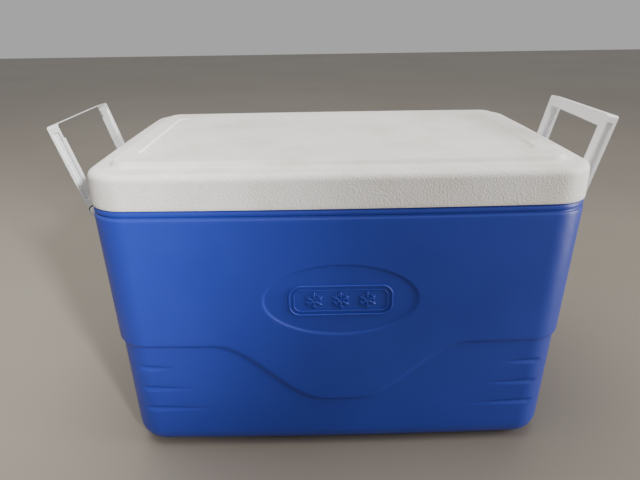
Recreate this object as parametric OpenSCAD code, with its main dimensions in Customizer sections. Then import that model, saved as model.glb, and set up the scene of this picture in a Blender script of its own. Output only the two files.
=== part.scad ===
// Insulated cooler chest with a lift-off lid and two swinging bail handles.
// The origin is at the centre of the base, +Z is up and the front faces -Y. Sizes are in millimetres.

/* [Chest] */
// Width of the chest and lid
chest_w = 490; // [480:1:500]
// Depth of the chest and lid
chest_d = 318; // [310:1:330]
// Height of the seam under the lid
seam_z = 297; // [290:1:300]
// Radius of the upright corners
corner_r = 38; // [34:1:42]
// How far the middle of the front and back stands out
front_bow = 4; // [1:0.5:5]
// How far the middle of each end stands out
end_bow = 2; // [1:0.5:3]
// Inward lean of the outer wall, per millimetre of drop
wall_draft = 0.012; // [0.008:0.001:0.02]
// Thickness of the outer shell
shell_t = 3.2; // [2.8:0.1:3.4]
// Radius of the edge round the base
base_r = 26; // [22:1:28]

/* [Wave step] */
// Height of the step at the corners and ends
step_z = 143; // [138:1:148]
// How far the lower wall sits back
step_in = 3; // [2:0.5:4]
// Height of the sloping face of the step
step_h = 5; // [4:0.5:6]
// How much the step widens up and down on the slopes of its dip
step_spread = 3; // [0:0.5:4]
// How far the step dips in the middle of the front and back
wave_dip = 72; // [66:1:78]
// Half width of the flat bottom of the dip
wave_flat = 16; // [12:1:20]
// Width over which the dip rises to the level part
wave_rise = 121; // [112:1:126]

/* [Front details] */
// Height of the centre of the oval recess
oval_z = 198; // [194:1:202]
// Width of the oval recess
oval_w = 158; // [150:1:164]
// Height of the oval recess
oval_h = 80; // [76:1:84]
// Depth of the oval recess
oval_depth = 1.4; // [1:0.1:1.5]
// Width of the badge frame
badge_w = 104; // [98:1:108]
// Height of the badge frame
badge_h = 33; // [30:1:36]
// Thickness of the raised lines of the badge
badge_line = 2; // [1.5:0.5:2.5]
// Height of each corner groove
groove_h = 6; // [5:0.5:7]
// Depth of a corner groove at its outer end
groove_depth = 2.2; // [1.5:0.1:2.4]

/* [Liner and insulation] */
// Distance from the outside of the rim to the inside of the tub
wall_total = 33; // [31:1:35]
// Thickness of the tub
liner_t = 2; // [1.8:0.1:2.4]
// Inward lean of the tub wall, per millimetre of drop
liner_draft = 0.03; // [0.02:0.005:0.035]
// Height of the floor inside the tub
floor_z = 28; // [26:1:30]
// Radius of the upright corners inside the tub
liner_corner_r = 28; // [24:1:30]
// Radius of the edge round the floor of the tub
liner_base_r = 20; // [16:1:22]

/* [Lid] */
// Height of the lid, from the seam to the border of its top
lid_h = 34; // [32:1:36]
// Height of the raised panel above the border
panel_h = 5; // [4:0.5:6]
// Width of the border beside the raised panel, at the ends
border_w = 19; // [17:1:21]
// How much wider the border is at the front and the back
border_more = 7; // [4:1:8]
// Radius of the upper edge of the lid
lid_edge_r = 7; // [6:0.5:8]
// Thickness of the lid cover
lid_t = 2.8; // [2.4:0.1:3]
// Depth of the recess in the raised panel
recess_depth = 1.5; // [1:0.1:1.8]
// Width of the recess
recess_w = 406; // [400:1:412]
// Depth of the recess from front to back
recess_d = 194; // [188:1:200]
// How far the plug reaches below the seam
plug_h = 14; // [10:1:16]
// Gap between the plug and the tub
plug_gap = 2.5; // [2:0.1:3]

/* [Handles] */
// Outward lean of the left handle at rest
left_tilt = 16; // [13:0.5:17]
// Outward lean of the right handle at rest
right_tilt = 12.5; // [11:0.5:17]
// Distance from the pivot to the top of the grip
handle_l = 98; // [94:1:102]
// Width over the two arms
handle_w = 138; // [134:1:142]
// Width of an arm
arm_w = 10.5; // [10:0.5:12]
// Thickness of the handle
arm_t = 12.5; // [11.5:0.5:13.5]
// Height of the grip
grip_h = 12.5; // [12:0.5:14]
// Depth of the channel in each side of an arm
channel_depth = 3; // [2:0.5:3.5]
// Thickness of the flanges beside the channels
flange_t = 2.6; // [2:0.1:3]
// Distance from the end wall to the pivot
pivot_out = 22.5; // [21:0.5:24]
// Height of the pivot
pivot_z = 266.5; // [262:0.5:268]
// Radius of the pivot pin
pin_r = 3.5; // [3:0.1:4]
// Radial play between the pin and the handle
pin_play = 0.05; // [0.02:0.01:0.1]

/* [Hidden] */

front_steps = 22;      // straight pieces along the front and the back
end_steps = 4;         // straight pieces along each end
corner_steps = 5;      // pieces round each upright corner
round_step = 18;       // degrees between the rings of a rounded edge
plug_step = 45;        // the same for the lower edge of the plug
oval_angle = 7.5;      // degrees between the points of the oval
skin_gap = 0.15;       // clearance between the foam and the skins
wall_gap = 1;          // clearance between the foam and the shell's wall, so that their facets stay apart
min_corner = 6;        // smallest corner radius of a ring
rim_top = seam_z - 0.2;            // top of the shell and the tub's flange
rim_in = 5.4;                      // inset of the inside of the rim
shoulder = 12;                     // depth of the thicker rim below the seam
shoulder_foot = 15;                // where the rim has narrowed to the wall's thickness
foam_ease = 0.5;                   // how much lower the foam follows the shoulder
flange_h = 2.6;                    // thickness of the tub's flange
mouth = 1;                         // size of the chamfer round the tub's mouth
lid_flange_t = 2.5;                // thickness of the lid's bottom panel
lid_draft = 0.03;                  // inward lean of the lid's skirt
panel_rise = 4;                    // width of the sloping edge of the raised panel
panel_bevel = 1.5;                 // size of the bevel along the top of that edge
recess_r = 14;                     // radius of the recess's corners
plug_edge = 3;                     // radius of the lower edge of the plug
plug_chamfer = 2;                  // width of the chamfer inside that edge
border_z = seam_z + lid_h;
panel_z = border_z + panel_h;
side_x = chest_w / 2;
side_y = chest_d / 2;

pivot_x = side_x + pivot_out;
bracket_t = 3.5;                   // thickness of the bracket's plate
bracket_y = 60;                    // half length of the plate
bracket_z = [250, 284];            // bottom and top of the plate
eye_r = 7.5;                       // radius of the handle's eye
ear_r = 8;                         // radius of the bracket's ear
ear_t = 6.5;                       // thickness of the bracket's ear
side_play = 0.3;                   // gap on each side of the handle's eye
arm_in = handle_w / 2 - arm_w;     // inner face of an arm
pin_head_r = 5.5;
pin_head_t = 2;
pin_tail = 1;                      // length of pin that shows past the ear
bracket_fit = 0.03;                // radial play of the pin in the bracket
screw_y = 32;
screw_r = 2;
screw_head_r = 4.5;
screw_head_t = 2.4;
screw_fit = 0.05;                  // radial play of a screw in the shell
screw_clear = 0.2;                 // radial play of a screw in the plate
screw_bore_l = 30;                 // length of the cutter for a screw's hole
screw_past = 0.4;                  // length of screw that shows inside the wall
handle_corner = 6;                 // radius of the handle's outer corners
channel_foot = 14;                 // distance from the pivot to a channel
channel_head = 8;                  // distance from an outer channel to the top of the grip
inner_head = 3;                    // distance from an inner channel to the grip

// Height of each corner groove and the distance from the middle at which it runs out.
grooves = [[114, 180], [86, 160], [58, 140]];
groove_corner = 28;                // distance from the end to the deepest part of a groove
badge_r = 10;                      // corner radius of the badge frame
badge_gap = 4.5;                   // distance from the outer line of the frame to the inner one
badge_rise = 1.2;                  // height of the frame's lines
flake_r = 7;                       // radius of a snowflake
flake_line = 1.6;                  // width of its arms
flake_rise = 0.9;                  // height of its arms
flake_x = 26;                      // distance between snowflakes
sink = 0.5;                        // how far one solid reaches into another that it joins
over = 5;                          // how far a cutter reaches past what it cuts
smooth = 48;                       // pieces in a full circle

shell_blue = [0.10, 0.28, 0.68];
lid_white = [0.90, 0.90, 0.88];
liner_white = [0.93, 0.93, 0.92];
foam_cream = [0.93, 0.89, 0.76];
steel_grey = [0.65, 0.66, 0.68];

// ---- outlines and rings ----

function mix(a, b, t) = a + (b - a) * t;
function arc(cx, cy, r, start) =
    [for (i = [0:corner_steps - 1]) let (a = start + 90 * i / corner_steps) [cx + r * cos(a), cy + r * sin(a)]];

// Rounded rectangle of half sizes hx and hy, anticlockwise from the front left.
function outline(hx, hy, r) = let (cx = hx - r, cy = hy - r) concat(
    [for (i = [0:front_steps - 1]) [mix(-cx, cx, i / front_steps), -hy]], arc(cx, -cy, r, -90),
    [for (i = [0:end_steps - 1]) [hx, mix(-cy, cy, i / end_steps)]], arc(cx, cy, r, 0),
    [for (i = [0:front_steps - 1]) [mix(cx, -cx, i / front_steps), hy]], arc(-cx, cy, r, 90),
    [for (i = [0:end_steps - 1]) [-hx, mix(cy, -cy, i / end_steps)]], arc(-cx, -cy, r, 180));

// Bends straight sides out in the middle.
function bowed(p) = [p.x * (1 - end_bow / side_x * pow(p.y / side_y, 2)),
                     p.y * (1 - front_bow / side_y * pow(p.x / side_x, 2))];

// How far the wave step lies below its level part at x, and how much wider it is there.
function wave_part(x) = min(1, max(0, (abs(x) - wave_flat) / wave_rise));
function wave_drop(x) = wave_dip * (1 + cos(180 * wave_part(x))) / 2;
function wave_spread(x) = step_spread * sin(180 * wave_part(x));

// One ring of a skin at height z, inset from the chest's outline, and further in by more_y at the front and
// the back; follow is 1 for the upper edge of the wave step, -1 for its lower edge and 0 for a level ring.
function ring(z, inset, r = corner_r, follow = 0, more_y = 0) =
    [for (q = outline(side_x - inset, side_y - inset - more_y, max(min_corner, r)))
        let (p = bowed(q), drop = abs(follow) * wave_drop(p.x))
        [p.x, p.y - sign(p.y) * min(abs(p.y), wall_draft * drop), z - drop + follow * wave_spread(p.x)]];

// Closed skin through rings that all have the same number of points.
module skin(rings) {
    n = len(rings[0]);
    last = len(rings) - 1;
    polyhedron(
        points = [for (one = rings) each one],
        faces = concat(
            [[for (i = [0:n - 1]) i]],
            [for (k = [0:last - 1], i = [0:n - 1])
                let (a = k * n + i, b = k * n + (i + 1) % n) each [[a, a + n, b], [b, a + n, b + n]]],
            [[for (i = [n - 1:-1:0]) last * n + i]]),
        convexity = 6);
}

// ---- outer shell ----

function drafted(z) = wall_draft * (seam_z - z);
function shell_ring(z, inset, follow = 0) = ring(z, inset + drafted(z), corner_r - inset - drafted(z), follow);

// Rings of the shell's outside, or of a surface t inside it, from the base up to the shoulder.
function wall_rings(t) = concat(
    [for (a = [0:round_step:90])
        shell_ring(base_r - (base_r - t) * cos(a), step_in + base_r - (base_r - t) * sin(a))],
    [shell_ring(step_z - step_h / 2, step_in + t, -1), shell_ring(step_z + step_h / 2, t, 1)]);

// Rim from the shoulder up: a small groove, then a bead under the lid.
rim_profile = [[seam_z - 11, 0], [seam_z - 8.7, 0.9], [seam_z - 7.8, 2.2], [seam_z - 6.6, 2.2],
               [seam_z - 5.8, 1], [seam_z - 3.4, 0.6], [seam_z - 1.4, 1.3], [rim_top, 2.6]];
inner_rim = [[rim_top, rim_in], [seam_z - shoulder, rim_in], [seam_z - shoulder_foot, shell_t]];

function reversed(list) = [for (i = [len(list) - 1:-1:0]) list[i]];
function shell_profile(profile) = [for (p = profile) shell_ring(p[0], p[1])];

function wall_y(x, z) =
    -(side_y - drafted(z) - step_in) * (1 - front_bow / side_y * pow(x / side_x, 2));

// Wedge that cuts one corner groove; it is deepest at the corner and runs out at inner_x.
module groove_cutter(z, inner_x) {
    corner_x = side_x - groove_corner;
    outside = -side_y - over;
    floor_y = wall_y(corner_x, z) + groove_depth;
    translate([0, 0, z - groove_h / 2])
        linear_extrude(groove_h)
            polygon([[inner_x, outside], [inner_x, wall_y(inner_x, z)], [corner_x, floor_y], [corner_x, outside]]);
}

module corner_grooves() {
    for (side = [0, 1], face = [0, 1])
        mirror([side, 0, 0]) mirror([0, face, 0])
            for (g = grooves) groove_cutter(g[0], g[1]);
}

oval_floor_y = -side_y + drafted(oval_z) + oval_depth;

// Turns an outline in X and Z into a block that reaches from y_back to y_front.
module front_block(y_front, y_back) {
    translate([0, y_back, oval_z]) rotate([90, 0, 0]) linear_extrude(y_back - y_front) children();
}

module oval_outline() {
    polygon([for (a = [oval_angle:oval_angle:360]) [oval_w / 2 * cos(a), oval_h / 2 * sin(a)]]);
}

module badge_ring(w, h, r, line) {
    difference() {
        polygon(outline(w / 2, h / 2, r));
        polygon(outline(w / 2 - line, h / 2 - line, r - line));
    }
}

module snowflake(r) {
    for (a = [0:60:120]) rotate(a) square([2 * r, flake_line], center = true);
}

module screw_bores(radius) {
    for (side = [-1, 1], y = [-screw_y, screw_y])
        translate([side * side_x, y, pivot_z]) rotate([0, 90, 0])
            cylinder(r = radius, h = screw_bore_l, center = true, $fn = smooth);
}

module outer_shell() {
    color(shell_blue) {
        difference() {
            skin(concat(wall_rings(0), shell_profile(rim_profile), shell_profile(inner_rim),
                        reversed(wall_rings(shell_t))));
            front_block(-side_y - over, oval_floor_y) oval_outline();
            corner_grooves();
            screw_bores(screw_r + screw_fit);
        }
        front_block(oval_floor_y - badge_rise, oval_floor_y + sink) {
            badge_ring(badge_w, badge_h, badge_r, badge_line);
            badge_ring(badge_w - 2 * badge_gap, badge_h - 2 * badge_gap, badge_r - badge_gap, badge_line / 2);
        }
        front_block(oval_floor_y - flake_rise, oval_floor_y + sink)
            for (i = [-1:1]) translate([i * flake_x, 0]) snowflake(flake_r);
    }
}

// ---- tub and foam ----

function tub_inset(z, t) = wall_total - t + liner_draft * (seam_z - z);
function tub_ring(z, t, more = 0) = ring(z, tub_inset(z, t) + more, liner_corner_r + t - more);

// Rings of the tub's inside, or of a surface t outside it, from the floor up.
function tub_rings(t) =
    [for (a = [0:round_step:90])
        tub_ring(floor_z + liner_base_r - (liner_base_r + t) * cos(a), t, (liner_base_r + t) * (1 - sin(a)))];

module inner_liner() {
    color(liner_white)
        skin(concat(tub_rings(liner_t),
                    [tub_ring(rim_top - flange_h, liner_t), shell_ring(rim_top - flange_h, rim_in + skin_gap),
                     shell_ring(rim_top, rim_in + skin_gap), tub_ring(rim_top, 0, -mouth), tub_ring(rim_top - mouth, 0)],
                    reversed(tub_rings(0))));
}

module body_foam() {
    inside = shell_t + wall_gap;
    tub_gap = liner_t + skin_gap;
    foam_top = rim_top - flange_h - skin_gap;
    color(foam_cream)
        skin(concat(wall_rings(inside),
                    [shell_ring(seam_z - shoulder_foot - foam_ease, inside),
                     shell_ring(seam_z - shoulder - foam_ease, rim_in + skin_gap),
                     shell_ring(foam_top, rim_in + skin_gap), tub_ring(foam_top, tub_gap)],
                    reversed(tub_rings(tub_gap))));
}

// ---- lid ----

function lid_ring(z, inset, more_y = 0) =
    let (d = inset + lid_draft * (z - seam_z)) ring(z, d, corner_r - d, 0, more_y);

// Rings of the lid's outside, or of a surface t inside it, from the seam up to the middle of its top.
function lid_rings(t) = concat(
    [lid_ring(seam_z + (t == 0 ? 0 : lid_flange_t), t)],
    [for (a = [0:round_step:90])
        lid_ring(border_z - lid_edge_r + (lid_edge_r - t) * sin(a), lid_edge_r - (lid_edge_r - t) * cos(a))],
    [lid_ring(border_z - t, border_w + t / 2, border_more),
     lid_ring(panel_z - panel_bevel - t, border_w + panel_rise - panel_bevel + t / 2, border_more),
     lid_ring(panel_z - t, border_w + panel_rise + t / 2, border_more)]);

module lid_cover() {
    color(lid_white)
        difference() {
            skin(concat(reversed(lid_rings(lid_t)), [lid_ring(seam_z, lid_t)], lid_rings(0)));
            translate([0, 0, panel_z - recess_depth])
                linear_extrude(over) polygon(outline(recess_w / 2, recess_d / 2, recess_r));
        }
}

// One ring of the plug, further in by more.
function plug_ring(z, more) = ring(z, wall_total + plug_gap + more, liner_corner_r - plug_gap - more);

module lid_liner() {
    bottom = seam_z - plug_h;
    color(liner_white)
        skin(concat([for (a = [0:plug_step:90]) plug_ring(bottom + plug_edge * (1 - cos(a)), plug_edge * (1 - sin(a)))],
                    [plug_ring(seam_z, 0), lid_ring(seam_z, lid_t + skin_gap),
                     lid_ring(seam_z + lid_flange_t, lid_t + skin_gap), plug_ring(seam_z + lid_flange_t, liner_t),
                     plug_ring(bottom + plug_edge, liner_t), plug_ring(bottom + lid_flange_t, liner_t + plug_chamfer)]));
}

module lid_foam() {
    bottom = seam_z - plug_h;
    gap = liner_t + skin_gap;
    color(foam_cream)
        skin(concat([plug_ring(bottom + lid_flange_t + skin_gap, gap + plug_chamfer),
                     plug_ring(bottom + plug_edge + skin_gap, gap),
                     plug_ring(seam_z + lid_flange_t + skin_gap, gap),
                     lid_ring(seam_z + lid_flange_t + skin_gap, lid_t + skin_gap)],
                    [for (i = [1:len(lid_rings(0)) - 1]) lid_rings(lid_t + skin_gap)[i]]));
}

// ---- handle, bracket, pins and screws ----
// Each is made for the right-hand end and mirrored for the left.

module along_y(y, length, radius) {
    translate([0, y, 0]) rotate([-90, 0, 0]) cylinder(r = radius, h = length, $fn = smooth);
}

module at_pivot() {
    translate([pivot_x, 0, pivot_z]) children();
}

module ear(y) {
    difference() {
        union() {
            at_pivot() along_y(y, ear_t, ear_r);
            translate([side_x + bracket_t / 2, y, pivot_z - ear_r])
                cube([pivot_out - bracket_t / 2, ear_t, 2 * ear_r]);
        }
        at_pivot() along_y(y - over, ear_t + 2 * over, pin_r + bracket_fit);
    }
}

module bracket() {
    ear_y = arm_in - side_play - ear_t;
    color(shell_blue) {
        difference() {
            translate([side_x, -bracket_y, bracket_z[0]])
                cube([bracket_t, 2 * bracket_y, bracket_z[1] - bracket_z[0]]);
            screw_bores(screw_r + screw_clear);
        }
        ear(ear_y);
        ear(-ear_y - ear_t);
    }
}

// The pin in the rear arm; the front one is its mirror image.
module pin() {
    head_y = handle_w / 2 + side_play;
    tail_y = arm_in - side_play - ear_t - pin_tail;
    color(lid_white) at_pivot() {
        along_y(tail_y, head_y - tail_y, pin_r);
        along_y(head_y, pin_head_t, pin_head_r);
    }
}

module screw() {
    wall_inside = side_x - shell_t - screw_past;
    color(steel_grey)
        translate([0, screw_y, pivot_z]) rotate([0, 90, 0]) {
            translate([0, 0, wall_inside]) cylinder(r = screw_r, h = side_x + bracket_t - wall_inside, $fn = smooth);
            translate([0, 0, side_x + bracket_t]) cylinder(r = screw_head_r, h = screw_head_t, $fn = smooth);
        }
}

// The grip and both arms seen from the end, without the eyes.
module handle_outline() {
    window = (handle_l - grip_h + over) / 2;
    difference() {
        translate([0, handle_l / 2]) polygon(outline(handle_w / 2, handle_l / 2, handle_corner));
        translate([0, handle_l - grip_h - window]) polygon(outline(arm_in, window, handle_corner / 2));
        translate([-handle_w, -over]) square([2 * handle_w, over + handle_corner]);
    }
}

// Cutter for the channel in one side face of an arm, from y out to y + channel_depth.
module channel(y, head) {
    width = arm_t - 2 * flange_t;
    translate([-width / 2, y, channel_foot]) cube([width, channel_depth, handle_l - head - channel_foot]);
}

module handle(tilt) {
    outer_y = handle_w / 2;
    color(lid_white) at_pivot() rotate([0, tilt, 0])
        difference() {
            union() {
                translate([-arm_t / 2, 0, 0]) rotate([90, 0, 90]) linear_extrude(arm_t) handle_outline();
                for (y = [-outer_y, arm_in]) {
                    translate([-arm_t / 2, y, 0]) cube([arm_t, arm_w, handle_corner + sink]);
                    along_y(y, arm_w, eye_r);
                }
            }
            for (y = [-outer_y, arm_in]) along_y(y - over, arm_w + 2 * over, pin_r + pin_play);
            for (y = [-outer_y, outer_y - channel_depth]) channel(y, channel_head);
            for (y = [-arm_in - channel_depth, arm_in]) channel(y, grip_h + inner_head);
        }
}

module left() {
    mirror([1, 0, 0]) children();
}

module front() {
    mirror([0, 1, 0]) children();
}

outer_shell();
inner_liner();
body_foam();
left() bracket();  // bracket_left
bracket();  // bracket_right
left() front() pin();  // pin_left_front
left() pin();  // pin_left_rear
front() pin();  // pin_right_front
pin();  // pin_right_rear
left() front() screw();  // screw_left_front
left() screw();  // screw_left_rear
front() screw();  // screw_right_front
screw();  // screw_right_rear
lid_cover();
lid_liner();
lid_foam();
left() handle(left_tilt);  // handle_left
handle(right_tilt);  // handle_right
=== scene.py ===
"""Looks of the cooler chest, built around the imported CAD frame. Sizes in metres unless a name says mm."""

from math import cos, pi, radians, sin

import bmesh
import bpy
import numpy as np
from mathutils import Matrix, Vector


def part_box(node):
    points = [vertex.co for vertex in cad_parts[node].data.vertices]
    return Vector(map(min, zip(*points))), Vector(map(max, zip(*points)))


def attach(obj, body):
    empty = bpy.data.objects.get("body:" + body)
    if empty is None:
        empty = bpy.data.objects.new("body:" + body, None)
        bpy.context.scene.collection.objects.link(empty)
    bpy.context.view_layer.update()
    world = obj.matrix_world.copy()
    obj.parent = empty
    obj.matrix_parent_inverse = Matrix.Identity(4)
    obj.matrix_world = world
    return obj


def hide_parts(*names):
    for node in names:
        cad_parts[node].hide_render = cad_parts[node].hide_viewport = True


MM = 0.001
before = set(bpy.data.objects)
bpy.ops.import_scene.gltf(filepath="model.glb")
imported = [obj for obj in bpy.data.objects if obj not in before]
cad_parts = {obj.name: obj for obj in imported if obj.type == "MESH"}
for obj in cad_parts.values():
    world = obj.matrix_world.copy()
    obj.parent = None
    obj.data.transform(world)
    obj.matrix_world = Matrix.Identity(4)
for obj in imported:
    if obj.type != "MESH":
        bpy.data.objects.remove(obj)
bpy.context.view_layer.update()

# ---------------------------------------------------------------- places taken from the frame

SHELL_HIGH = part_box("outer_shell")[1]
LID_LOW, LID_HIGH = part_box("lid_cover")
SEAM_Z = LID_LOW.z
HALF_X = LID_HIGH.x
HALF_Y = LID_HIGH.y
RIM_TOP = SHELL_HIGH.z

# ---------------------------------------------------------------- form of the chest, in millimetres

CORNER_R = 38.0        # upright corners
FRONT_BOW = 4.0        # how far the middle of the front stands out
END_BOW = 2.0          # the same for the ends
WALL_DRAFT = 0.012     # inward lean per millimetre of drop
BASE_R = 26.0          # edge round the base
STEP_Z = 143.0         # wave step at the corners
STEP_IN = 3.0          # how far the wall below the step is set in
STEP_H = 5.0           # height over which it does so
WAVE_DIP = 72.0        # how far the step drops in the middle of the front and back
WAVE_FLAT = 16.0       # half width of the level bottom of the wave
WAVE_RISE = 121.0      # width of each slope of the wave
STEP_SPREAD = 3.0      # how much wider the step is, up and down, on the slopes of the wave
OVAL_Z = 198.0         # centre of the oval recess
OVAL_HALF = (79.0, 40.0)
OVAL_DEPTH = 1.5
OVAL_FINE = 92.0       # half width of the stretch whose columns are close enough for the oval
GROOVES = ((114.0, 180.0), (86.0, 160.0), (58.0, 140.0))   # height, and where the groove runs out
GROOVE_DEPTH = 2.4
GROOVE_HALF = 4.5      # half height of a groove
SHELL_T = 3.2
SHARP_ANGLE = 35       # edges steeper than this, in degrees, stay sharp on the small parts
WALL_TOTAL = 33.0      # outside of the rim to the inside of the tub
LINER_DRAFT = 0.03
FLOOR_Z = 28.0
LINER_R = 28.0
LINER_BASE_R = 20.0
LINER_T = 2.0

SIDE_WORD = {-1: "left", 1: "right"}
END_WORD = {-1: "front", 1: "rear"}

seam = SEAM_Z / MM
half_x = HALF_X / MM
half_y = HALF_Y / MM
rim_top = RIM_TOP / MM


# ---------------------------------------------------------------- mesh helpers

def smoothstep(a, b, x):
    t = np.clip((x - a) / (b - a), 0.0, 1.0)
    return t * t * (3 - 2 * t)


def eased(a, b, x):
    """From 0 at a to 1 at b, nearly straight between its rounded ends."""
    return 0.65 * np.clip((x - a) / (b - a), 0.0, 1.0) + 0.35 * smoothstep(a, b, x)


def new_object(name, verts, faces, smooth=True):
    mesh = bpy.data.meshes.new(name)
    mesh.from_pydata([tuple(v) for v in verts], [], faces)
    mesh.validate()
    mesh.update()
    obj = bpy.data.objects.new(name, mesh)
    bpy.context.scene.collection.objects.link(obj)
    if smooth:
        mesh.polygons.foreach_set("use_smooth", [True] * len(mesh.polygons))
    return obj


def object_from_bmesh(name, bm, smooth=True):
    bmesh.ops.recalc_face_normals(bm, faces=bm.faces)
    mesh = bpy.data.meshes.new(name)
    bm.to_mesh(mesh)
    bm.free()
    obj = bpy.data.objects.new(name, mesh)
    bpy.context.scene.collection.objects.link(obj)
    mesh.polygons.foreach_set("use_smooth", [smooth] * len(mesh.polygons))
    return obj


def discard(obj):
    mesh = obj.data
    bpy.data.objects.remove(obj)
    bpy.data.meshes.remove(mesh)


def apply_modifiers(obj):
    depsgraph = bpy.context.evaluated_depsgraph_get()
    mesh = bpy.data.meshes.new_from_object(obj.evaluated_get(depsgraph))
    obj.modifiers.clear()
    obj.data = mesh
    return obj


def soften(obj, degrees):
    """Smooth shading that keeps flat faces flat and leaves edges steeper than the angle sharp."""
    mesh = obj.data
    mesh.polygons.foreach_set("use_smooth", [True] * len(mesh.polygons))
    bm = bmesh.new()
    bm.from_mesh(mesh)
    for e in bm.edges:
        e.smooth = len(e.link_faces) == 2 and e.calc_face_angle(0) < radians(degrees)
    bm.to_mesh(mesh)
    bm.free()
    mod = obj.modifiers.new("normals", "WEIGHTED_NORMAL")
    mod.keep_sharp = True
    mod.weight = 100
    apply_modifiers(obj)


def ring_faces(rows, columns, closed_ends=True):
    """Quads between rows of points that each run once round, and a face on the first and the last row."""
    faces = []
    for k in range(rows - 1):
        for i in range(columns):
            j = (i + 1) % columns
            faces.append((k * columns + i, k * columns + j, (k + 1) * columns + j, (k + 1) * columns + i))
    if closed_ends:
        faces.append(tuple(range(columns - 1, -1, -1)))
        faces.append(tuple((rows - 1) * columns + i for i in range(columns)))
    return faces


def skin_object(name, rings):
    """Closed mesh through rings of points in millimetres; the rings run anticlockwise seen from above."""
    points = np.concatenate(rings) * MM
    return new_object(name, points, ring_faces(len(rings), len(rings[0])))


# ---------------------------------------------------------------- outlines

def spaced(edges_and_steps):
    """Positions along a side: (end position, step) pairs from the first position on."""
    out = []
    here = edges_and_steps[0][0]
    for end, step in edges_and_steps[1:]:
        count = max(1, round(abs(end - here) / step))
        out += list(np.linspace(here, end, count, endpoint=False))
        here = end
    return np.array(out)


class Outline:
    """Columns round a rounded rectangle: the core point of each and the direction in which it faces."""

    def __init__(self, half_x, half_y, radius, xs, ys, corner_steps, back_xs=None):
        cx, cy = half_x - radius, half_y - radius
        back_xs = xs if back_xs is None else back_xs
        core, out = [], []
        self.radius = radius

        def side(points, normal):
            for p in points:
                core.append(p)
                out.append(normal)

        def corner(x, y, start):
            for a in np.linspace(start, start + 90, corner_steps, endpoint=False):
                core.append((x, y))
                out.append((cos(radians(a)), sin(radians(a))))

        side([(x * cx, -cy) for x in xs], (0, -1))
        corner(cx, -cy, -90)
        side([(cx, y * cy) for y in ys], (1, 0))
        corner(cx, cy, 0)
        side([(-x * cx, cy) for x in back_xs], (0, 1))
        corner(-cx, cy, 90)
        side([(-cx, -y * cy) for y in ys], (-1, 0))
        corner(-cx, -cy, 180)
        self.core = np.array(core)
        self.out = np.array(out, float)

    def points(self, inset):
        return self.core + self.out * (self.radius - np.asarray(inset))[..., None]


def bowed(xy):
    """Bends the straight sides of an outline out in the middle."""
    x, y = xy[:, 0], xy[:, 1]
    return np.stack([x * (1 - END_BOW / half_x * (y / half_y) ** 2),
                     y * (1 - FRONT_BOW / half_y * (x / half_x) ** 2)], 1)


def ring(outline, inset, z):
    xy = bowed(outline.points(inset))
    return np.column_stack([xy, np.broadcast_to(z, len(xy))])


def drafted(z):
    return WALL_DRAFT * (seam - z)


# ---------------------------------------------------------------- outer shell

def wave_part(x):
    return np.clip((np.abs(x) - WAVE_FLAT) / WAVE_RISE, 0, 1)


def wave_height(x):
    return STEP_Z - WAVE_DIP * (1 + np.cos(pi * wave_part(x))) / 2


def shell_relief(core, out, z):
    """Inset of the shell's face, in millimetres, from the step, the oval recess and the corner grooves."""
    x = core[:, 0]
    front_or_back = np.abs(out[:, 1])
    has_wave = front_or_back > 0.5
    step_z = np.where(has_wave, wave_height(x), STEP_Z)
    half = STEP_H / 2 + np.where(has_wave, STEP_SPREAD * np.sin(pi * wave_part(x)), 0)
    inset = STEP_IN * (1 - eased(-half, half, z - step_z))
    on_front = out[:, 1] < -0.99
    reach = np.hypot(x / OVAL_HALF[0], (z - OVAL_Z) / OVAL_HALF[1])
    slope = np.hypot(x / OVAL_HALF[0] ** 2, (z - OVAL_Z) / OVAL_HALF[1] ** 2) / np.maximum(reach, 1e-6)
    edge = (reach - 1) / np.maximum(slope, 1e-6)
    inset = inset + on_front * OVAL_DEPTH * (1 - smoothstep(-1.3, 1.3, edge))
    turn = np.degrees(np.arctan2(np.abs(out[:, 0]), front_or_back))
    for groove_z, run_out in GROOVES:
        along = np.clip((np.abs(x) - run_out) / (half_x - CORNER_R - run_out), 0, 1)
        fade = along * (1 - smoothstep(8, 30, turn)) * (front_or_back > 0.3)
        across = (z - groove_z) / (GROOVE_HALF * (0.35 + 0.65 * along))
        inset = inset + GROOVE_DEPTH * fade * np.clip(1 - across ** 2, 0, 1) ** 2
    return inset


def shell_columns():
    cx = half_x - CORNER_R
    fine = OVAL_FINE / cx
    front = spaced([(-1, 0), (-fine, 2.2 / cx), (fine, 1.0 / cx), (1, 2.2 / cx)])
    back = spaced([(-1, 0), (1, 2.2 / cx)])
    ends = spaced([(-1, 0), (1, 0.04)])
    return Outline(half_x, half_y, CORNER_R, front, ends, 22, back)


def shell_rows():
    """Height and extra inset of each row up the outside."""
    rows = []
    for a in np.linspace(0, 90, 14):
        rows.append((BASE_R * (1 - cos(radians(a))), BASE_R * (1 - sin(radians(a)))))
    heights = spaced([(BASE_R, 0), (44, 3), (150, 1.25), (244, 1.0), (seam - 11.5, 4)])[1:]
    rows += [(z, 0.0) for z in heights]
    rim = ((11.5, 0), (10.2, 0.1), (9.4, 0.45), (8.9, 1.0), (8.5, 1.7), (8.0, 2.15),
           (7.4, 2.3), (6.8, 2.1), (6.4, 1.6), (6.0, 1.1), (5.4, 0.75), (4.6, 0.6),
           (3.6, 0.6), (2.6, 0.8), (1.8, 1.2), (1.2, 1.8), (0.7, 2.4))
    rows += [(seam - down, inset) for down, inset in rim]
    rows += [(rim_top - 0.1, 3.0), (rim_top, 3.5), (rim_top, 5.4), (seam - 12, 5.4), (seam - 15, 3.4)]
    rows += [(z, SHELL_T) for z in (240, 200)]
    return rows


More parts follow.
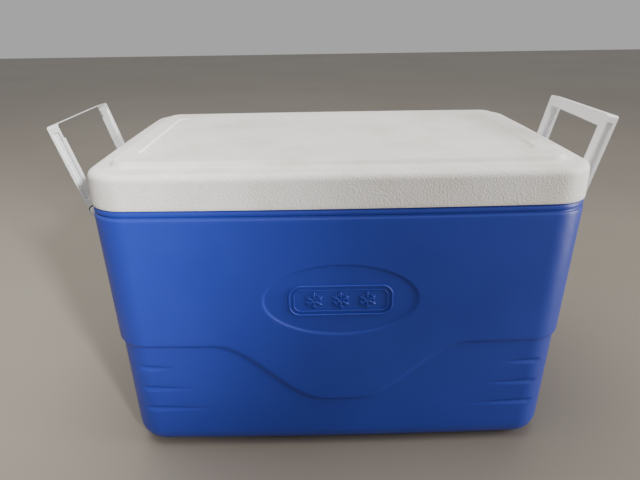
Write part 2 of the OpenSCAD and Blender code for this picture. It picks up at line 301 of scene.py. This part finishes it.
def make_outer_shell():
    outline = shell_columns()
    rings = []
    outside = shell_rows()
    for z, extra in outside:
        relief = shell_relief(outline.core, outline.out, z) if extra != SHELL_T else 0.0
        rings.append(ring(outline, drafted(z) + extra + relief, z))
    for z in np.linspace(190, BASE_R, 6):
        rings.append(ring(outline, drafted(z) + STEP_IN + SHELL_T, z))
    inner_r = BASE_R - SHELL_T
    for a in np.linspace(75, 0, 6):
        z = BASE_R - inner_r * cos(radians(a))
        rings.append(ring(outline, drafted(z) + STEP_IN + BASE_R - inner_r * sin(radians(a)), z))
    return skin_object("shell_body", rings)


# ---------------------------------------------------------------- tub

def make_inner_liner():
    """The tub: its outside up from the floor, the flange, and the inside back down."""
    radius = LINER_R + LINER_T
    outer_x = half_x - WALL_TOTAL + LINER_T
    outer_y = half_y - WALL_TOTAL + LINER_T
    long_side = spaced([(-1, 0), (1, 0.05)])
    short_side = spaced([(-1, 0), (1, 0.08)])
    tub = Outline(outer_x, outer_y, radius, long_side, short_side, 12)
    flange = Outline(half_x, half_y, CORNER_R, long_side, short_side, 12)
    rings = []

    def tub_ring(z, inward):
        rings.append(ring(tub, LINER_DRAFT * (seam - z) + inward, z))

    def floor_curve(start, end, r, inward):
        for a in np.linspace(start, end, 9):
            z = FLOOR_Z + LINER_BASE_R - r * cos(radians(a))
            tub_ring(z, inward + r * (1 - sin(radians(a))))

    floor_curve(0, 90, LINER_BASE_R + LINER_T, 0)
    tub_ring(rim_top - 2.6, 0)
    for inset, z in ((5.6, rim_top - 2.6), (5.6, rim_top - 0.4), (6.0, rim_top)):
        rings.append(ring(flange, inset, z))
    for a in np.linspace(0, 90, 6):
        tub_ring(rim_top - 2.5 + 2.5 * cos(radians(a)), LINER_T - 2.5 + 2.5 * sin(radians(a)))
    floor_curve(90, 0, LINER_BASE_R, LINER_T)
    return skin_object("tub", rings)


# ---------------------------------------------------------------- lid

LID_DRAFT = 0.03       # inward lean of the skirt per millimetre of rise
LID_EDGE_R = 7.0
BORDER_W = 19.0        # flat border round the raised panel
BORDER_MORE = 7.0      # how much wider the border is at the front and the back
PANEL_RISE = 4.0
LID_T = 2.8
RECESS_HALF = (203.0, 97.0)
RECESS_DEPTH = 1.5
RECESS_R = 14.0
LID_FLANGE_T = 2.5
PLUG_H = 14.0          # how far the plug reaches below the seam
PLUG_GAP = 2.5         # between the plug and the tub

panel_z = LID_HIGH.z / MM
border_z = panel_z - 5.0


def even_outline(half_x, half_y, radius):
    return Outline(half_x, half_y, radius, spaced([(-1, 0), (1, 0.025)]), spaced([(-1, 0), (1, 0.04)]), 16)


def lid_ring(z, inset, more_y=0.0):
    radius = max(CORNER_R - inset, 8)
    shape = even_outline(half_x - inset, half_y - inset - more_y, radius)
    return ring(shape, LID_DRAFT * (z - seam), z)


def panel_ring(z, inset):
    return lid_ring(z, inset, BORDER_MORE)


def recess_ring(z, inset):
    shape = even_outline(RECESS_HALF[0] - inset, RECESS_HALF[1] - inset, RECESS_R - inset)
    points = shape.points(0)
    return np.column_stack([points, np.full(len(points), z)])


def rounded_step(make_ring, z0, inset0, z1, inset1, soft):
    """Rings along an S-shaped edge from one level and inset to another; soft is the radius at both ends."""
    rings = []
    for t in np.linspace(0, 1, 11):
        s = t * t * (3 - 2 * t)
        bend = inset0 + (inset1 - inset0) * t
        rings.append(make_ring(z0 + (z1 - z0) * s, bend))
    return [make_ring(z0, inset0 - soft)] + rings + [make_ring(z1, inset1 + soft)]


def make_lid_cover():
    rings = [lid_ring(border_z - LID_T, 16), lid_ring(border_z - LID_T, LID_EDGE_R)]
    rings += [lid_ring(seam + 1.2, LID_T), lid_ring(seam + 0.3, LID_T - 0.5), lid_ring(seam, LID_T - 1.2)]
    rings += [lid_ring(seam, 0.9), lid_ring(seam + 0.25, 0.25), lid_ring(seam + 0.9, 0)]
    rings += [lid_ring(z, 0) for z in np.linspace(seam + 4, border_z - LID_EDGE_R - 1, 8)]
    for a in np.linspace(0, 90, 12):
        z = border_z - LID_EDGE_R * (1 - sin(radians(a)))
        rings.append(lid_ring(z, LID_EDGE_R * (1 - cos(radians(a)))))
    rings += [lid_ring(border_z, inset) for inset in (10, 13, 15.5)]
    rings += rounded_step(panel_ring, border_z, BORDER_W - 1, panel_z, BORDER_W + PANEL_RISE, 0.8)
    rings += rounded_step(recess_ring, panel_z, -0.7, panel_z - RECESS_DEPTH, 0.7, 0.5)
    rings += [recess_ring(panel_z - RECESS_DEPTH, 6), recess_ring(panel_z - RECESS_DEPTH, 12)]
    return skin_object("lid_top", rings)


def make_lid_liner():
    """The bottom panel of the lid, a flange with a shallow plug in its middle."""
    bottom = seam - PLUG_H
    inset = WALL_TOTAL + PLUG_GAP
    plug = even_outline(half_x - inset, half_y - inset, LINER_R - PLUG_GAP)
    rings = []
    for a in np.linspace(0, 90, 7):
        rings.append(ring(plug, 4 * (1 - sin(radians(a))), bottom + 4 * (1 - cos(radians(a)))))
    rings.append(ring(plug, 0, seam - 1.5))
    rings.append(ring(plug, -0.4, seam - 0.4))
    rings.append(ring(plug, -1.4, seam))
    rings.append(lid_ring(seam, LID_T + 0.15))
    rings.append(lid_ring(seam + LID_FLANGE_T, LID_T + 0.15))
    rings.append(ring(plug, 2, seam + LID_FLANGE_T))
    rings.append(ring(plug, 2, bottom + 4.5))
    rings.append(ring(plug, 4, bottom + LID_FLANGE_T))
    return skin_object("lid_panel", rings)


# ---------------------------------------------------------------- badge in the oval

BADGE_SIZE = (104.0, 33.0)
BADGE_R = 11.0
LINE_RISE = 1.6


def rounded_path(width, height, radius, steps=10):
    """Points round a rounded rectangle in X and Z, with the outward direction of each."""
    cx, cz = width / 2 - radius, height / 2 - radius
    out = []
    for x, z, start in ((cx, -cz, -90), (cx, cz, 0), (-cx, cz, 90), (-cx, -cz, 180)):
        for a in np.linspace(start, start + 90, steps):
            out.append((x + radius * cos(radians(a)), z + radius * sin(radians(a)),
                        cos(radians(a)), sin(radians(a))))
    return out


def front_y(x):
    """Floor of the oval recess at x."""
    return -(half_y - drafted(OVAL_Z) - OVAL_DEPTH) * (1 - FRONT_BOW / half_y * (x / half_x) ** 2)


def half_round(width, rise, steps=8):
    """Cross-section of a raised line: (across, out of the face) pairs, with its foot sunk a little."""
    arch = [(-width / 2 * cos(a), rise * sin(a) ** 0.7) for a in np.linspace(0, pi, steps)]
    return [(-width / 2, -0.6)] + arch + [(width / 2, -0.6)]


def swept_line(name, path, section, closed=True):
    """Raised line along a path on the front face; the path gives x, z and the direction across the line."""
    verts, faces = [], []
    n = len(section)
    for x, z, dx, dz in path:
        for across, rise in section:
            px = x + dx * across
            verts.append((px * MM, (front_y(px) - rise) * MM, (OVAL_Z + z + dz * across) * MM))
    count = len(path)
    for i in range(count if closed else count - 1):
        j = (i + 1) % count
        for k in range(n):
            m = (k + 1) % n
            faces.append((i * n + k, i * n + m, j * n + m, j * n + k))
    if not closed:
        faces.append(tuple(range(n)))
        faces.append(tuple((count - 1) * n + k for k in reversed(range(n))))
    return new_object(name, verts, faces)


def bar_path(x0, z0, x1, z1, steps=4):
    length = Vector((x1 - x0, z1 - z0)).length
    dx, dz = (z1 - z0) / length, -(x1 - x0) / length
    return [(x0 + (x1 - x0) * t, z0 + (z1 - z0) * t, dx, dz) for t in np.linspace(0, 1, steps)]


def snowflake(x, size):
    """Six plain arms, each with one pair of side twigs."""
    bars = []
    section = half_round(1.9, 1.3, 6)
    twig = half_round(1.4, 1.1, 6)
    for arm in range(6):
        a = radians(60 * arm + 30)
        tip = (x + size * cos(a), size * sin(a))
        bars.append(swept_line("bar", bar_path(x, 0, *tip), section, closed=False))
        root = (x + 0.55 * size * cos(a), 0.55 * size * sin(a))
        for turn in (-1, 1):
            b = a + turn * radians(55)
            end = (root[0] + 0.38 * size * cos(b), root[1] + 0.38 * size * sin(b))
            bars.append(swept_line("bar", bar_path(*root, *end), twig, closed=False))
    return bars


def joined(name, objects):
    """One object from several, made by putting their meshes together."""
    bm = bmesh.new()
    for obj in objects:
        bm.from_mesh(obj.data)
        discard(obj)
    return object_from_bmesh(name, bm)


def make_badge():
    """Plain double frame with three snowflakes, moulded in the oval."""
    width, height = BADGE_SIZE
    outer = swept_line("line", rounded_path(width, height, BADGE_R), half_round(2.4, LINE_RISE))
    inner = swept_line("line", rounded_path(width - 9, height - 9, BADGE_R - 4), half_round(1.6, 1.1))
    flakes = [bar for x in (-27, 0, 27) for bar in snowflake(x, 9.5)]
    return joined("badge_relief", [outer, inner] + flakes)


# ---------------------------------------------------------------- handles

HANDLE_TILT = {-1: 16.0, 1: 12.5}      # outward lean of the left and the right handle
HANDLE_L = 98.0
HANDLE_HALF_W = 69.0
ARM_W = 10.5
ARM_T = 12.5
ARM_IN = HANDLE_HALF_W - ARM_W         # inner face of an arm
GRIP_H = 12.5
GRIP_CORNER_R = 6.0       # outer corners between the grip and the arms
GRIP_INNER_R = 2.5        # inner corners
HANDLE_EDGE_R = 1.1
FLANGE_T = 2.6
CHANNEL_DEPTH = 3.0
CHANNEL_FOOT = 14.0       # where the channels in the arms begin
CHANNEL_HEAD = 8.0        # how far below the top of the grip the outer ones end
INNER_HEAD = 3.0          # how far below the grip the inner ones end
EYE_R = 7.5
PIN_R = 3.5
PIVOT_Z = 266.5
PIVOT_OUT = 22.5          # from the end wall to the pivot


def solid_from_cells(xs, ys, zs, filled):
    """Closed mesh round the grid cells for which filled(x, y, z) at the cell's centre is true."""
    bm = bmesh.new()
    cache = {}

    def vert(i, j, k):
        if (i, j, k) not in cache:
            cache[i, j, k] = bm.verts.new((xs[i], ys[j], zs[k]))
        return cache[i, j, k]

    def is_filled(i, j, k):
        if not (0 <= i < len(xs) - 1 and 0 <= j < len(ys) - 1 and 0 <= k < len(zs) - 1):
            return False
        return filled((xs[i] + xs[i + 1]) / 2, (ys[j] + ys[j + 1]) / 2, (zs[k] + zs[k + 1]) / 2)

    corners = {
        (1, 0, 0): ((1, 0, 0), (1, 1, 0), (1, 1, 1), (1, 0, 1)),
        (-1, 0, 0): ((0, 0, 0), (0, 0, 1), (0, 1, 1), (0, 1, 0)),
        (0, 1, 0): ((0, 1, 0), (0, 1, 1), (1, 1, 1), (1, 1, 0)),
        (0, -1, 0): ((0, 0, 0), (1, 0, 0), (1, 0, 1), (0, 0, 1)),
        (0, 0, 1): ((0, 0, 1), (1, 0, 1), (1, 1, 1), (0, 1, 1)),
        (0, 0, -1): ((0, 0, 0), (0, 1, 0), (1, 1, 0), (1, 0, 0)),
    }
    for i in range(len(xs) - 1):
        for j in range(len(ys) - 1):
            for k in range(len(zs) - 1):
                if not is_filled(i, j, k):
                    continue
                for (a, b, c), face in corners.items():
                    if not is_filled(i + a, j + b, k + c):
                        bm.faces.new([vert(i + p, j + q, k + r) for p, q, r in face])
    return bm


def bevel_edges(bm, edges, width, segments):
    bmesh.ops.bevel(bm, geom=list(edges), offset=width, offset_type="OFFSET", segments=segments,
                    profile=0.5, affect="EDGES", clamp_overlap=True)


def dissolve_flat(bm):
    bmesh.ops.dissolve_limit(bm, angle_limit=radians(1), verts=bm.verts, edges=bm.edges)


def cylinder_y(name, y, length, radius, segments=64, bevel=0.0):
    bm = bmesh.new()
    turn = Matrix.Rotation(radians(90), 4, "X")
    middle = Matrix.Translation((0, (y + length / 2) * MM, 0))
    bmesh.ops.create_cone(bm, cap_ends=True, segments=segments, radius1=radius * MM, radius2=radius * MM,
                          depth=length * MM, matrix=middle @ turn)
    if bevel:
        rims = [e for e in bm.edges if abs(e.verts[0].co.y - e.verts[1].co.y) < 1e-7]
        bevel_edges(bm, rims, bevel * MM, 3)
    return object_from_bmesh(name, bm)


def boolean(obj, other, operation):
    mod = obj.modifiers.new("cut", "BOOLEAN")
    mod.operation = operation
    mod.solver = "EXACT"
    mod.object = other
    apply_modifiers(obj)
    discard(other)


def handle_cells():
    half_t = ARM_T / 2
    web = half_t - FLANGE_T
    xs = np.array([-half_t, -web, web, half_t]) * MM
    outer_top = HANDLE_L - CHANNEL_HEAD
    inner_top = HANDLE_L - GRIP_H - INNER_HEAD
    ys = np.array([-HANDLE_HALF_W, -HANDLE_HALF_W + CHANNEL_DEPTH, -ARM_IN - CHANNEL_DEPTH, -ARM_IN])
    ys = np.concatenate([ys, -ys[::-1]]) * MM
    zs = np.array([-2, CHANNEL_FOOT, inner_top, HANDLE_L - GRIP_H, outer_top, HANDLE_L]) * MM

    def filled(x, y, z):
        in_arm = abs(y) > ARM_IN * MM
        in_grip = z > (HANDLE_L - GRIP_H) * MM
        outside = abs(y) > (HANDLE_HALF_W - CHANNEL_DEPTH) * MM and z < outer_top * MM
        inside = ARM_IN * MM < abs(y) < (ARM_IN + CHANNEL_DEPTH) * MM and z < inner_top * MM
        in_channel = abs(x) < web * MM and z > CHANNEL_FOOT * MM and (outside or inside)
        return (in_arm or in_grip) and not in_channel

    return solid_from_cells(xs, ys, zs, filled)


def make_handle(side):
    """One bail handle, upright at the origin, then leaned out to its place; side is -1 or 1."""
    bm = handle_cells()
    dissolve_flat(bm)

    def corner_edge(e, y, z):
        return all(abs(abs(v.co.y) - y * MM) < 1e-6 and abs(v.co.z - z * MM) < 1e-6 for v in e.verts)

    outer = [e for e in bm.edges if corner_edge(e, HANDLE_HALF_W, HANDLE_L)]
    bevel_edges(bm, outer, GRIP_CORNER_R * MM, 8)
    inner = [e for e in bm.edges if corner_edge(e, ARM_IN, HANDLE_L - GRIP_H)]
    bevel_edges(bm, inner, GRIP_INNER_R * MM, 5)
    sharp = [e for e in bm.edges if len(e.link_faces) == 2 and e.calc_face_angle(0) > radians(40)]
    bevel_edges(bm, sharp, HANDLE_EDGE_R * MM, 3)
    obj = object_from_bmesh("bail_" + SIDE_WORD[side], bm)
    for y in (-HANDLE_HALF_W, ARM_IN):
        boolean(obj, cylinder_y("eye", y, ARM_W, EYE_R, bevel=0.6), "UNION")
        boolean(obj, cylinder_y("bore", y - 1, ARM_W + 2, PIN_R + 0.05), "DIFFERENCE")
    lean = Matrix.Rotation(radians(HANDLE_TILT[side]), 4, "Y")
    to_pivot = Matrix.Translation(((half_x + PIVOT_OUT) * MM, 0, PIVOT_Z * MM))
    mirror = Matrix.Diagonal((side, 1, 1, 1))
    obj.data.transform(mirror @ to_pivot @ lean)
    if side < 0:
        obj.data.flip_normals()
    soften(obj, SHARP_ANGLE)
    return obj


# ---------------------------------------------------------------- brackets, pins and screws

BRACKET_HALF_Y = 60.0
BRACKET_Z = (250.0, 284.0)
BRACKET_T = 3.5
EAR_T = 6.5
EAR_R = 8.0
SIDE_PLAY = 0.3
SCREW_Y = 32.0


def extruded(name, outline, y0, y1, bevel):
    """Block from an outline in X and Z, between y0 and y1, with rounded edges; sizes in millimetres."""
    bm = bmesh.new()
    low = [bm.verts.new((x * MM, y0 * MM, z * MM)) for x, z in outline]
    face = bm.faces.new(low)
    made = bmesh.ops.extrude_face_region(bm, geom=[face])
    moved = [g for g in made["geom"] if isinstance(g, bmesh.types.BMVert)]
    bmesh.ops.translate(bm, verts=moved, vec=(0, (y1 - y0) * MM, 0))
    sharp = [e for e in bm.edges if e.calc_face_angle(0) > radians(40)]
    bevel_edges(bm, sharp, bevel * MM, 3)
    return object_from_bmesh(name, bm)


def make_bracket(side):
    """Plate with two ears that hold the pins."""
    x0 = half_x
    z0, z1 = BRACKET_Z
    zs = np.array([z0, z1]) * MM
    xs = np.array([x0, x0 + BRACKET_T]) * MM
    ys = np.array([-BRACKET_HALF_Y, BRACKET_HALF_Y]) * MM
    plate = solid_from_cells(xs, ys, zs, lambda x, y, z: True)
    upright = [e for e in plate.edges if abs(e.verts[0].co.x - e.verts[1].co.x) > 1e-4]
    bevel_edges(plate, upright, 6 * MM, 6)
    sharp = [e for e in plate.edges if e.calc_face_angle(0) > radians(40)]
    bevel_edges(plate, sharp, 0.9 * MM, 3)
    obj = object_from_bmesh("bracket", plate)
    px = x0 + PIVOT_OUT
    nose = [(px + EAR_R * cos(radians(a)), PIVOT_Z + EAR_R * sin(radians(a))) for a in range(-90, 91, 10)]
    outline = [(x0 + 1.5, PIVOT_Z - EAR_R - 4)] + nose + [(x0 + 1.5, PIVOT_Z + EAR_R + 4)]
    for y in (ARM_IN - SIDE_PLAY - EAR_T, -ARM_IN + SIDE_PLAY):
        boolean(obj, extruded("ear", outline, y, y + EAR_T, 0.7), "UNION")
        bore = cylinder_y("bore", y - 1, EAR_T + 2, PIN_R + 0.03)
        bore.data.transform(Matrix.Translation((px * MM, 0, PIVOT_Z * MM)))
        boolean(obj, bore, "DIFFERENCE")
    obj.name = "mount_" + SIDE_WORD[side]
    obj.data.transform(Matrix.Diagonal((side, 1, 1, 1)))
    if side < 0:
        obj.data.flip_normals()
    soften(obj, SHARP_ANGLE)
    return obj


def lathe(name, profile, segments=48):
    """Turns (radius, height) pairs round the Z axis; the first and last lie on the axis."""
    verts = [(0, 0, profile[0][1] * MM)]
    inner = profile[1:-1]
    for r, h in inner:
        for a in np.linspace(0, 2 * pi, segments, endpoint=False):
            verts.append((r * cos(a) * MM, r * sin(a) * MM, h * MM))
    verts.append((0, 0, profile[-1][1] * MM))
    faces = []
    for i in range(segments):
        j = (i + 1) % segments
        faces.append((0, 1 + j, 1 + i))
        for k in range(len(inner) - 1):
            a, b = 1 + k * segments, 1 + (k + 1) * segments
            faces.append((a + i, a + j, b + j, b + i))
        last = 1 + (len(inner) - 1) * segments
        faces.append((last + i, last + j, len(verts) - 1))
    obj = new_object(name, verts, faces)
    soften(obj, SHARP_ANGLE)
    return obj


def make_pin(side, end):
    """Pivot pin with a low domed head; end is -1 for the front arm and 1 for the rear."""
    tail = ARM_IN - SIDE_PLAY - EAR_T - 1
    head = HANDLE_HALF_W + SIDE_PLAY
    profile = [(0, tail), (PIN_R - 0.8, tail), (PIN_R, tail + 0.8), (PIN_R, head),
               (5.3, head), (5.5, head + 0.3), (5.4, head + 0.9), (4.9, head + 1.5),
               (3.8, head + 1.85), (2.0, head + 2.0), (0, head + 2.0)]
    obj = lathe(f"pivot_{SIDE_WORD[side]}_{END_WORD[end]}", profile)
    along_y = Matrix.Rotation(radians(-90 * end), 4, "X")
    obj.data.transform(Matrix.Translation((side * (half_x + PIVOT_OUT) * MM, 0, PIVOT_Z * MM)) @ along_y)
    return obj


def make_screw(side, end):
    """Pan-head screw with a cross recess."""
    face = half_x + BRACKET_T
    inside = half_x - SHELL_T - 0.4
    profile = [(0, inside), (1.4, inside), (2.0, inside + 0.8), (2.0, face), (4.3, face),
               (4.5, face + 0.25), (4.4, face + 0.9), (4.0, face + 1.6), (3.1, face + 2.15),
               (1.7, face + 2.4), (0, face + 2.4)]
    obj = lathe(f"fixing_{SIDE_WORD[side]}_{END_WORD[end]}", profile)
    for turn in (0, 90):
        bm = bmesh.new()
        bmesh.ops.create_cube(bm, size=1, matrix=Matrix.Rotation(radians(turn + 20), 4, "Z") @
                              Matrix.Translation((0, 0, (face + 2.4) * MM)) @
                              Matrix.Diagonal((5.0 * MM, 0.9 * MM, 3.0 * MM, 1)))
        boolean(obj, object_from_bmesh("slot", bm), "DIFFERENCE")
    soften(obj, SHARP_ANGLE)
    along_x = Matrix.Rotation(radians(90 * side), 4, "Y")
    obj.data.transform(Matrix.Translation((0, end * SCREW_Y * MM, PIVOT_Z * MM)) @ along_x)
    return obj


# ---------------------------------------------------------------- materials

def node_material(name):
    mat = bpy.data.materials.new(name)
    mat.use_nodes = True
    nodes = mat.node_tree.nodes
    return mat, nodes, mat.node_tree.links, nodes["Principled BSDF"]


def noise(nodes, links, vector, scale, detail=4, roughness=0.5):
    node = nodes.new("ShaderNodeTexNoise")
    node.inputs["Scale"].default_value = scale
    node.inputs["Detail"].default_value = detail
    node.inputs["Roughness"].default_value = roughness
    links.new(vector, node.inputs["Vector"])
    return node.outputs["Fac"]


def ramp(nodes, links, fac, stops):
    """Colour ramp; stops are (position, colour) with RGB colours."""
    node = nodes.new("ShaderNodeValToRGB")
    elements = node.color_ramp.elements
    while len(elements) < len(stops):
        elements.new(0.5)
    for element, (position, colour) in zip(elements, stops):
        element.position = position
        element.color = (*colour, 1)
    links.new(fac, node.inputs["Fac"])
    return node.outputs["Color"]


def bump(nodes, links, height, distance, strength, previous=None):
    node = nodes.new("ShaderNodeBump")
    node.inputs["Distance"].default_value = distance
    node.inputs["Strength"].default_value = strength
    links.new(height, node.inputs["Height"])
    if previous is not None:
        links.new(previous, node.inputs["Normal"])
    return node.outputs["Normal"]


def position(nodes):
    return nodes.new("ShaderNodeTexCoord").outputs["Object"]


def map_range(nodes, links, fac, low, high):
    node = nodes.new("ShaderNodeMapRange")
    node.inputs["To Min"].default_value = low
    node.inputs["To Max"].default_value = high
    links.new(fac, node.inputs["Value"])
    return node.outputs["Result"]


def blue_plastic():
    """Moulded blue polyethylene: fine leather-like grain and a soft sheen."""
    mat, nodes, links, shader = node_material("blue_moulded_plastic")
    where = position(nodes)
    patches = noise(nodes, links, where, 9, 3)
    colour = ramp(nodes, links, patches, [(0.3, (0.015, 0.036, 0.33)), (0.7, (0.020, 0.045, 0.38))])
    links.new(colour, shader.inputs["Base Color"])
    grain = noise(nodes, links, where, 900, 2, 0.6)
    wear = noise(nodes, links, where, 60, 4)
    links.new(map_range(nodes, links, wear, 0.36, 0.5), shader.inputs["Roughness"])
    fine = bump(nodes, links, grain, 0.0004, 0.25)
    waviness = noise(nodes, links, where, 45, 2)
    links.new(bump(nodes, links, waviness, 0.001, 0.12, fine), shader.inputs["Normal"])
    shader.inputs["Specular IOR Level"].default_value = 0.5
    return mat


def stippled_white():
    """Off-white lid plastic with a pebbled stipple and faint marks from use."""
    mat, nodes, links, shader = node_material("stippled_white_plastic")
    where = position(nodes)
    marks = noise(nodes, links, where, 14, 6, 0.65)
    tones = [(0.32, (0.80, 0.75, 0.67)), (0.5, (0.89, 0.85, 0.79)), (0.7, (0.92, 0.885, 0.84))]
    colour = ramp(nodes, links, marks, tones)
    links.new(colour, shader.inputs["Base Color"])
    cells = nodes.new("ShaderNodeTexVoronoi")
    cells.feature = "SMOOTH_F1"
    cells.inputs["Scale"].default_value = 560
    cells.inputs["Smoothness"].default_value = 0.6
    links.new(where, cells.inputs["Vector"])
    pebbles = bump(nodes, links, cells.outputs["Distance"], 0.001, 0.3)
    fine = bump(nodes, links, noise(nodes, links, where, 1300, 2), 0.0003, 0.3, pebbles)
    links.new(fine, shader.inputs["Normal"])
    links.new(map_range(nodes, links, marks, 0.42, 0.62), shader.inputs["Roughness"])
    return mat


def smooth_white(name, light, dark, roughness):
    mat, nodes, links, shader = node_material(name)
    where = position(nodes)
    clouds = noise(nodes, links, where, 18, 4)
    links.new(ramp(nodes, links, clouds, [(0.3, dark), (0.7, light)]), shader.inputs["Base Color"])
    wear = noise(nodes, links, where, 120, 3)
    gloss = map_range(nodes, links, wear, roughness - 0.06, roughness + 0.08)
    links.new(gloss, shader.inputs["Roughness"])
    links.new(bump(nodes, links, noise(nodes, links, where, 500, 2), 0.0003, 0.15), shader.inputs["Normal"])
    return mat


def foam():
    """Cream closed-cell foam."""
    mat, nodes, links, shader = node_material("insulation_foam")
    where = position(nodes)
    cells = nodes.new("ShaderNodeTexVoronoi")
    cells.inputs["Scale"].default_value = 500
    links.new(where, cells.inputs["Vector"])
    tones = [(0.0, (0.72, 0.62, 0.42)), (0.6, (0.86, 0.79, 0.6))]
    colour = ramp(nodes, links, cells.outputs["Distance"], tones)
    links.new(colour, shader.inputs["Base Color"])
    links.new(bump(nodes, links, cells.outputs["Distance"], 0.001, 0.6), shader.inputs["Normal"])
    shader.inputs["Roughness"].default_value = 0.85
    return mat


def zinc_steel():
    """Zinc-plated steel with fine turning marks."""
    mat, nodes, links, shader = node_material("zinc_plated_steel")
    where = position(nodes)
    streaks = noise(nodes, links, where, 300, 4)
    colour = ramp(nodes, links, streaks, [(0.3, (0.42, 0.43, 0.45)), (0.7, (0.62, 0.63, 0.64))])
    links.new(colour, shader.inputs["Base Color"])
    turning = noise(nodes, links, where, 900, 3)
    links.new(map_range(nodes, links, turning, 0.25, 0.5), shader.inputs["Roughness"])
    shader.inputs["Metallic"].default_value = 1.0
    return mat


def dress(obj, mat):
    obj.data.materials.clear()
    obj.data.materials.append(mat)
    return obj


# ---------------------------------------------------------------- the pieces in place

blue = blue_plastic()
lid_white = stippled_white()
liner_white = smooth_white("tub_white_plastic", (0.80, 0.80, 0.78), (0.74, 0.74, 0.72), 0.32)
handle_white = smooth_white("handle_white_plastic", (0.87, 0.865, 0.85), (0.82, 0.815, 0.80), 0.42)
foam_cream = foam()
steel = zinc_steel()


def place(obj, mat, body, node):
    dress(obj, mat)
    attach(obj, body)
    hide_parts(node)
    return obj


place(make_outer_shell(), blue, "chest", "outer_shell")
badge = dress(make_badge(), blue)
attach(badge, "chest")
place(make_inner_liner(), liner_white, "chest", "inner_liner")
place(make_lid_cover(), lid_white, "lid", "lid_cover")
place(make_lid_liner(), liner_white, "lid", "lid_liner")
for side, word in SIDE_WORD.items():
    place(make_handle(side), handle_white, word + "_handle", "handle_" + word)
    place(make_bracket(side), blue, "chest", "bracket_" + word)
    for end, end_word in END_WORD.items():
        place(make_pin(side, end), handle_white, "chest", f"pin_{word}_{end_word}")
        place(make_screw(side, end), steel, "chest", f"screw_{word}_{end_word}")
for node in ("body_foam", "lid_foam"):
    dress(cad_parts[node], foam_cream)


# ---------------------------------------------------------------- floor, light and camera

def make_floor():
    size = 6.0
    mat, nodes, links, shader = node_material("pale_floor")
    tone = noise(nodes, links, position(nodes), 1.5, 3)
    colour = ramp(nodes, links, tone, [(0.3, (0.235, 0.20, 0.16)), (0.7, (0.265, 0.23, 0.185))])
    links.new(colour, shader.inputs["Base Color"])
    shader.inputs["Roughness"].default_value = 0.45
    verts = [(-size, -size, 0), (size, -size, 0), (size, size, 0), (-size, size, 0)]
    floor = dress(new_object("floor", verts, [(0, 1, 2, 3)], smooth=False), mat)


def make_world():
    world = bpy.data.worlds.new("studio")
    bpy.context.scene.world = world
    world.use_nodes = True
    background = world.node_tree.nodes["Background"]
    background.inputs["Color"].default_value = (0.80, 0.80, 0.80, 1)
    background.inputs["Strength"].default_value = 0.55


def add_light(name, kind, location, target, power, colour=(1, 1, 1)):
    data = bpy.data.lights.new(name, kind)
    data.energy = power
    data.color = colour
    obj = bpy.data.objects.new(name, data)
    bpy.context.scene.collection.objects.link(obj)
    obj.location = location
    obj.rotation_euler = (Vector(target) - Vector(location)).to_track_quat("-Z", "Y").to_euler()
    return data


def add_spot(name, location, target, power, degrees, softness, colour=(1, 1, 1)):
    data = add_light(name, "SPOT", location, target, power, colour)
    data.spot_size = radians(degrees)
    data.spot_blend = 0.9
    data.shadow_soft_size = softness


def add_panel(name, location, target, power, width, height):
    data = add_light(name, "AREA", location, target, power)
    data.shape = "RECTANGLE"
    data.size = width
    data.size_y = height


def make_lights():
    """Spots across the front and along the lid, two panels at the right-hand end, one overhead."""
    cool = (0.98, 1.0, 1.03)
    add_spot("front_left", (1.0, -1.9, 1.3), (-0.40, -HALF_Y, 0.24), 500, 15.5, 0.12, cool)
    add_spot("along_lid", (1.6, -0.25, 0.75), (-0.24, 0.0, LID_HIGH.z), 120, 16, 0.08)
    add_panel("right_end", (1.4, -0.45, 0.7), (HALF_X, -HALF_Y, 0.2), 11, 0.5, 0.7)
    add_panel("right_low", (1.4, -0.42, 0.08), (0.15, -HALF_Y, 0.12), 6, 0.3, 0.1)
    add_panel("overhead", (-0.4, 0.2, 2.2), (-0.1, 0, 0), 45, 2.0, 2.0)


def make_camera():
    """Camera in front of the chest and above it, with the slight turn and roll of a hand-held view."""
    back, side, above = 0.446, -0.0244, 0.1285
    pitch, roll, yaw = radians(23.96), radians(-0.81), radians(-0.56)
    right = Vector((cos(yaw), sin(yaw), 0))
    ahead = Vector((-sin(yaw) * cos(pitch), cos(yaw) * cos(pitch), -sin(pitch)))
    up = right.cross(ahead)
    rolled_right = right * cos(roll) + up * sin(roll)
    rolled_up = up * cos(roll) - right * sin(roll)
    data = bpy.data.cameras.new("camera")
    data.sensor_width = 36.0
    data.lens = 28.85
    data.clip_start = 0.01
    obj = bpy.data.objects.new("camera", data)
    bpy.context.scene.collection.objects.link(obj)
    turn = Matrix((rolled_right, rolled_up, -ahead)).transposed().to_4x4()
    obj.matrix_world = Matrix.Translation((side, -HALF_Y - back, LID_HIGH.z + above)) @ turn
    bpy.context.scene.camera = obj


make_floor()
make_world()
make_lights()
make_camera()
